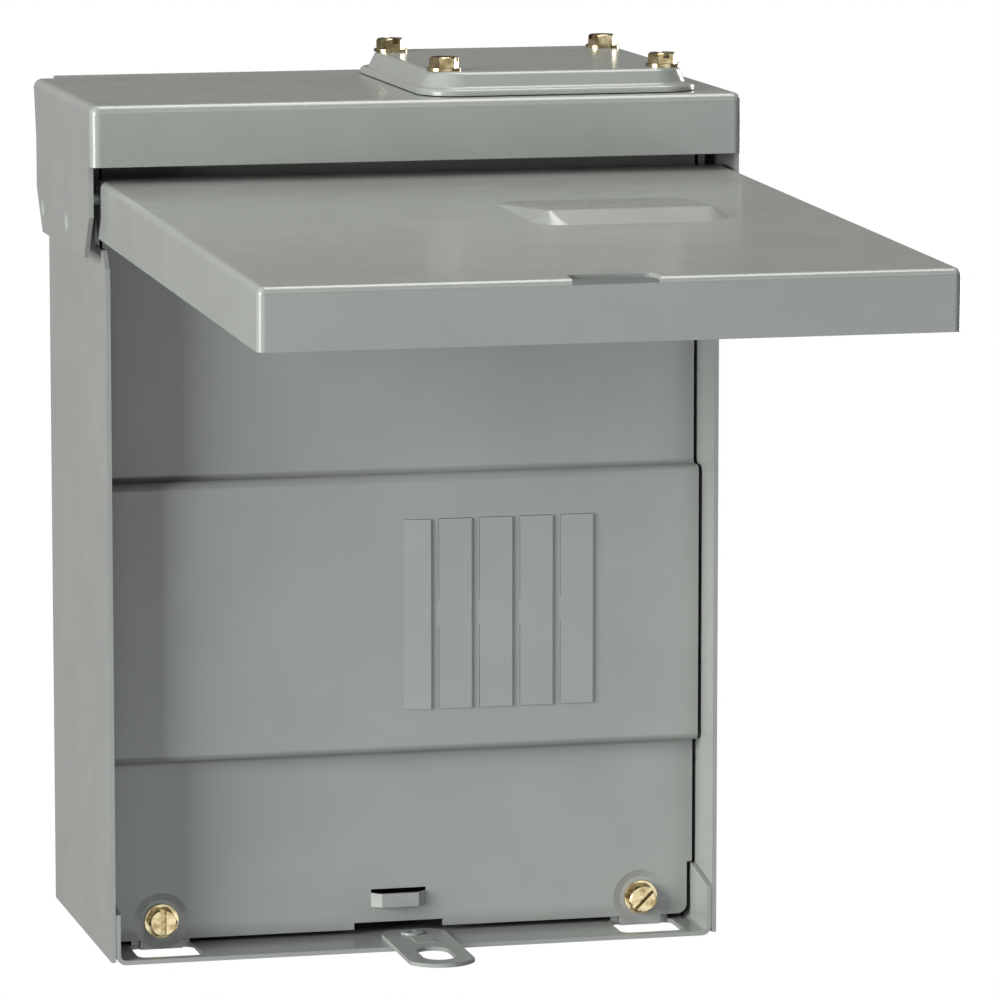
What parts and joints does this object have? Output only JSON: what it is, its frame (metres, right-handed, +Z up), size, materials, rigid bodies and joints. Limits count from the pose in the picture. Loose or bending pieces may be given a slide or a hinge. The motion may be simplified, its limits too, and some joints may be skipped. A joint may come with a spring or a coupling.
{
  "type": "outdoor load centre enclosure",
  "caption": "Small rainproof outdoor load centre: grey steel box with a top hood, a lift-up door on a top hinge, a padlock hasp and an inner deadfront with breaker twistouts.",
  "frame": {"origin": "centre of the four wall mounting holes, on the back plane that meets the wall", "axes": "+X to the right seen from the front, +Y into the wall, +Z up; the door and deadfront face -Y"},
  "size_m": [0.1992, 0.334, 0.2718],
  "materials": {
    "grey_enamel": "semi-gloss grey enamel, slight orange peel",
    "yellow_zinc": "yellow zinc plating",
    "plated_steel": "zinc-plated steel",
    "gasket_rubber": "matte",
    "black_moulding": "moulded, matte",
    "tinned_bus": "tin plated",
    "lug_aluminium": "bright extruded",
    "green_screw": "green dyed screw"
  },
  "bodies": {
    "enclosure": {"wrapper": "grey_enamel", "hood": "grey_enamel", "closure_plate": "grey_enamel", "bottom_plate": "grey_enamel", "deadfront": "grey_enamel", "deadfront_retainer": "grey_enamel", "hasp": "grey_enamel", "hinge_pins": "grey_enamel", "hasp_rivet": "grey_enamel", "closure_screws": "yellow_zinc", "deadfront_screws": "yellow_zinc", "interior_pan": "plated_steel", "breaker_rail": "plated_steel", "pan_screws": "plated_steel", "ground_mounting_screws": "plated_steel", "neutral_screws": "plated_steel", "ground_screws": "plated_steel", "closure_gasket": "gasket_rubber", "base_insulator": "black_moulding", "neutral_insulator": "black_moulding", "line_bus_left": "tinned_bus", "line_bus_right": "tinned_bus", "line_lug_left": "lug_aluminium", "line_lug_right": "lug_aluminium", "neutral_bar": "lug_aluminium", "neutral_lug": "lug_aluminium", "ground_bar": "lug_aluminium", "lug_screws": "lug_aluminium", "neutral_lug_screw": "lug_aluminium", "bonding_screw": "green_screw"},
    "door": {"door": "grey_enamel"}
  },
  "joints": [
    {"name": "door_hinge", "type": "hinge", "parent": "enclosure", "child": "door", "pos_m": [0, -0.0989, 0.1059], "axis": [1, 0, 0], "range_deg": [-5, 88.75]}
  ]
}
